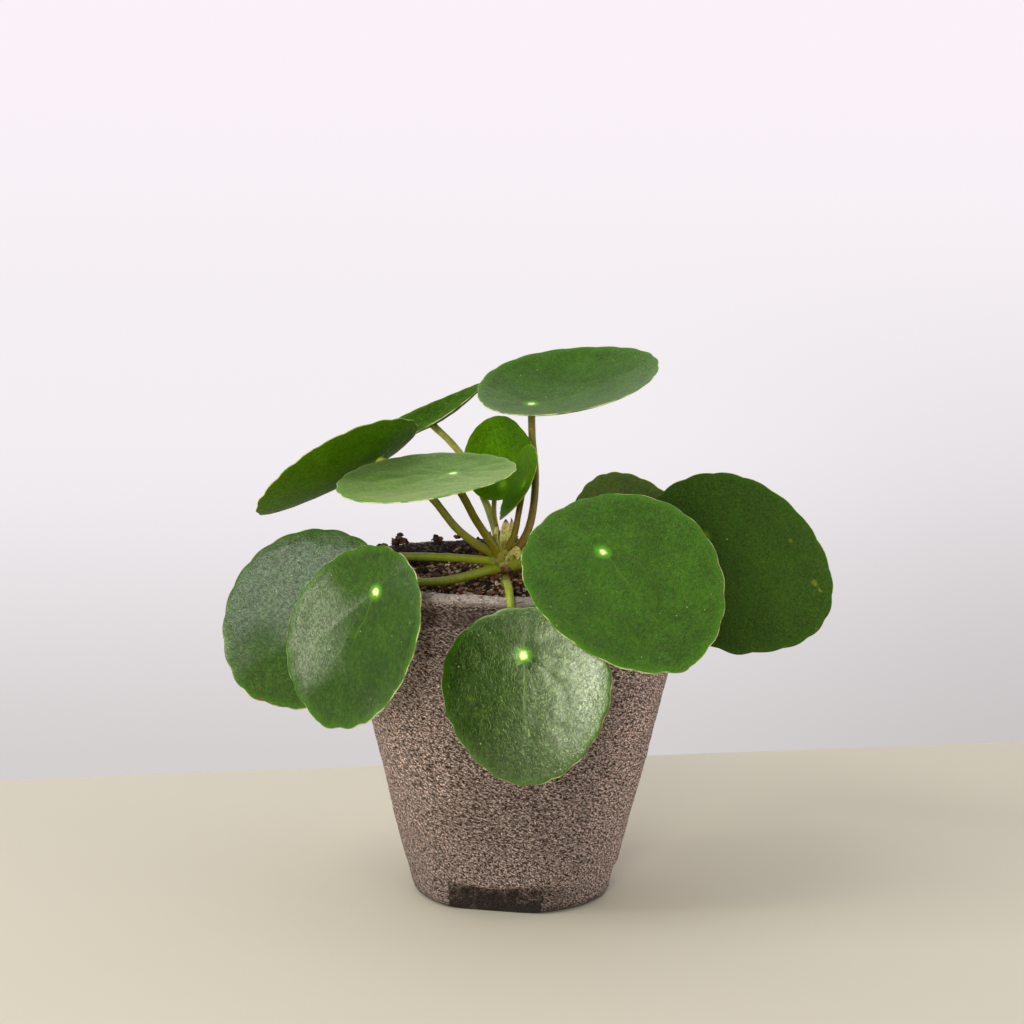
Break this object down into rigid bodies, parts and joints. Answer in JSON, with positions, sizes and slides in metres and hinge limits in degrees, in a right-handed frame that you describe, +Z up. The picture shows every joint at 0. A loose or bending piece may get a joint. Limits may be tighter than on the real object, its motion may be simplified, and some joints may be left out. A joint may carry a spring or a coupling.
{
  "type": "potted pilea plant",
  "caption": "Small house plant with round stalked leaves on a short woody trunk, standing in potting soil in a tapered moulded-fibre pot with a notched foot.",
  "frame": {"origin": "centre of the pot's flat base, on the surface it stands on", "axes": "+Z up along the pot's axis, -Y towards the front that the picture shows, +X to its right"},
  "size_m": [0.2014, 0.1586, 0.1807],
  "materials": {
    "pot_fibre": "matt moulded wood fibre, grey-brown with fine darker and paler flecks",
    "soil": "loose dark brown potting soil with paler chips",
    "trunk": "knobbly brown bark with papery pale scales",
    "leaf": "smooth glossy dark green with a pale dot where the stalk meets the blade",
    "young_leaf": "satin bright yellow-green",
    "stalk": "satin yellow-green to olive-brown"
  },
  "bodies": {
    "root": {"pot": "pot_fibre", "soil": "soil", "trunk": "trunk", "blade_top": "leaf", "stalk_top": "stalk", "blade_upper_left_back": "leaf", "stalk_upper_left_back": "stalk", "blade_left": "leaf", "stalk_left": "stalk", "blade_middle_left_front": "leaf", "stalk_middle_left_front": "stalk", "blade_young_back": "young_leaf", "stalk_young_back": "stalk", "blade_young_folded": "young_leaf", "stalk_young_folded": "stalk", "blade_left_low": "leaf", "stalk_left_low": "stalk", "blade_front_left_low": "leaf", "stalk_front_left_low": "stalk", "blade_front_low": "leaf", "stalk_front_low": "stalk", "blade_front_right": "leaf", "stalk_front_right": "stalk", "blade_right_back": "leaf", "stalk_right_back": "stalk", "blade_back": "leaf", "stalk_back": "stalk"}
  },
  "joints": []
}
